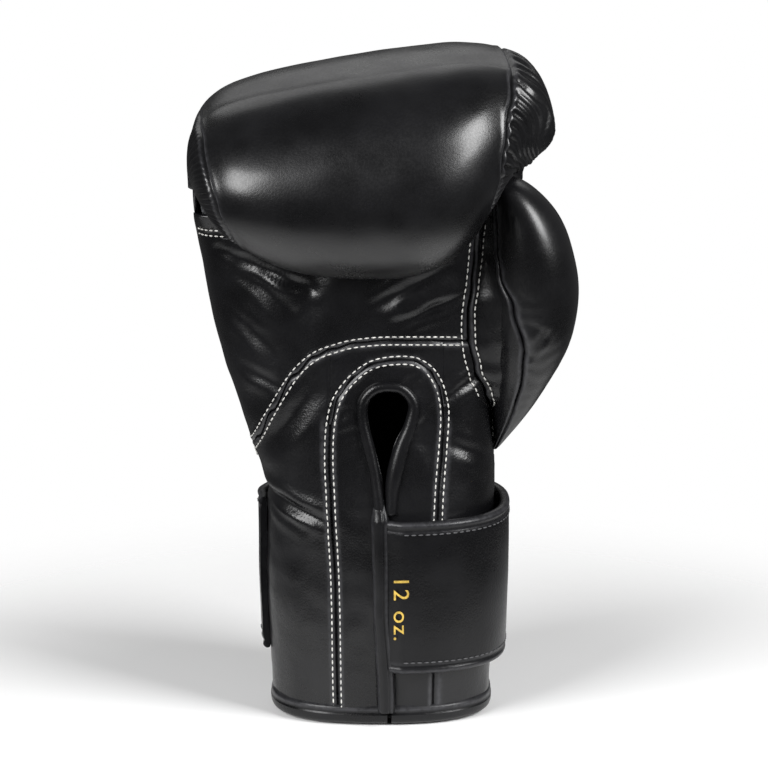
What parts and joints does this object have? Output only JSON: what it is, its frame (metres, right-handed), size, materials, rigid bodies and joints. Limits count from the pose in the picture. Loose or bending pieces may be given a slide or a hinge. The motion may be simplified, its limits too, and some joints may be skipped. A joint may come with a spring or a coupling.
{
  "type": "boxing glove",
  "caption": "Right-hand padded leather boxing glove with a curled fist, an attached thumb, a slit wrist and a hook-and-loop wrap strap, standing on its cuff.",
  "frame": {"origin": "centre of the cuff's mouth, on the plane that the cuff stands on", "axes": "+Z from the cuff to the knuckles, +Y towards the back of the hand (the palm faces -Y), +X towards the thumb"},
  "size_m": [0.1683, 0.1413, 0.3001],
  "materials": {
    "black_leather": "gloss",
    "foam": "matte",
    "lining_fabric": "matte",
    "woven_ribbon": "satin"
  },
  "bodies": {
    "glove": {"main_shell": "black_leather", "pinky_gusset": "black_leather", "upper_palm_panel": "black_leather", "pinky_wrist_panel": "black_leather", "thumb_wrist_panel": "black_leather", "thumb_web_panel": "black_leather", "slit_facing": "black_leather", "slit_piping": "black_leather", "flap_edge_binding": "black_leather", "hem_binding": "black_leather", "knuckle_foam_outer": "foam", "knuckle_foam_middle": "foam", "knuckle_foam_inner": "foam", "cuff_foam_back": "foam", "palm_foam": "foam", "cuff_foam_pinky": "foam", "cuff_foam_thumb": "foam", "back_lining": "lining_fabric", "palm_lining": "lining_fabric", "grip_bar": "foam", "grip_bar_cover": "lining_fabric", "loop_patch": "lining_fabric", "strap_root_tab": "black_leather", "thumb_tether": "black_leather"},
    "strap_front": {"front_strap_leather": "black_leather", "front_strap_foam": "foam", "front_strap_lining": "lining_fabric", "front_strap_binding": "black_leather"},
    "strap_tail": {"tail_strap_leather": "black_leather", "tail_strap_foam": "foam", "tail_strap_lining": "lining_fabric", "tail_strap_binding": "black_leather", "hook_patch": "lining_fabric", "woven_panel": "woven_ribbon"},
    "thumb": {"thumb_outer_panel": "black_leather", "thumb_inner_panel": "black_leather", "thumb_foam": "foam", "thumb_lining": "lining_fabric"}
  },
  "joints": [
    {"name": "strap_unwrap", "type": "hinge", "parent": "glove", "child": "strap_front", "pos_m": [0.0052, -0.044, 0], "axis": [0, 0, 1], "range_deg": [-40, 0]},
    {"name": "strap_peel", "type": "hinge", "parent": "strap_front", "child": "strap_tail", "pos_m": [0.0564, 0, 0], "axis": [0, 0, 1], "range_deg": [-120, 0]},
    {"name": "thumb_flex", "type": "hinge", "parent": "glove", "child": "thumb", "pos_m": [0.05, -0.005, 0.12], "axis": [0, 1, 0], "range_deg": [0, 10], "stiffness_Nm_per_rad": 1.5}
  ],
  "couplings": [
    {"joint": "strap_unwrap", "follows": "strap_peel", "ratio": 0.3}
  ]
}
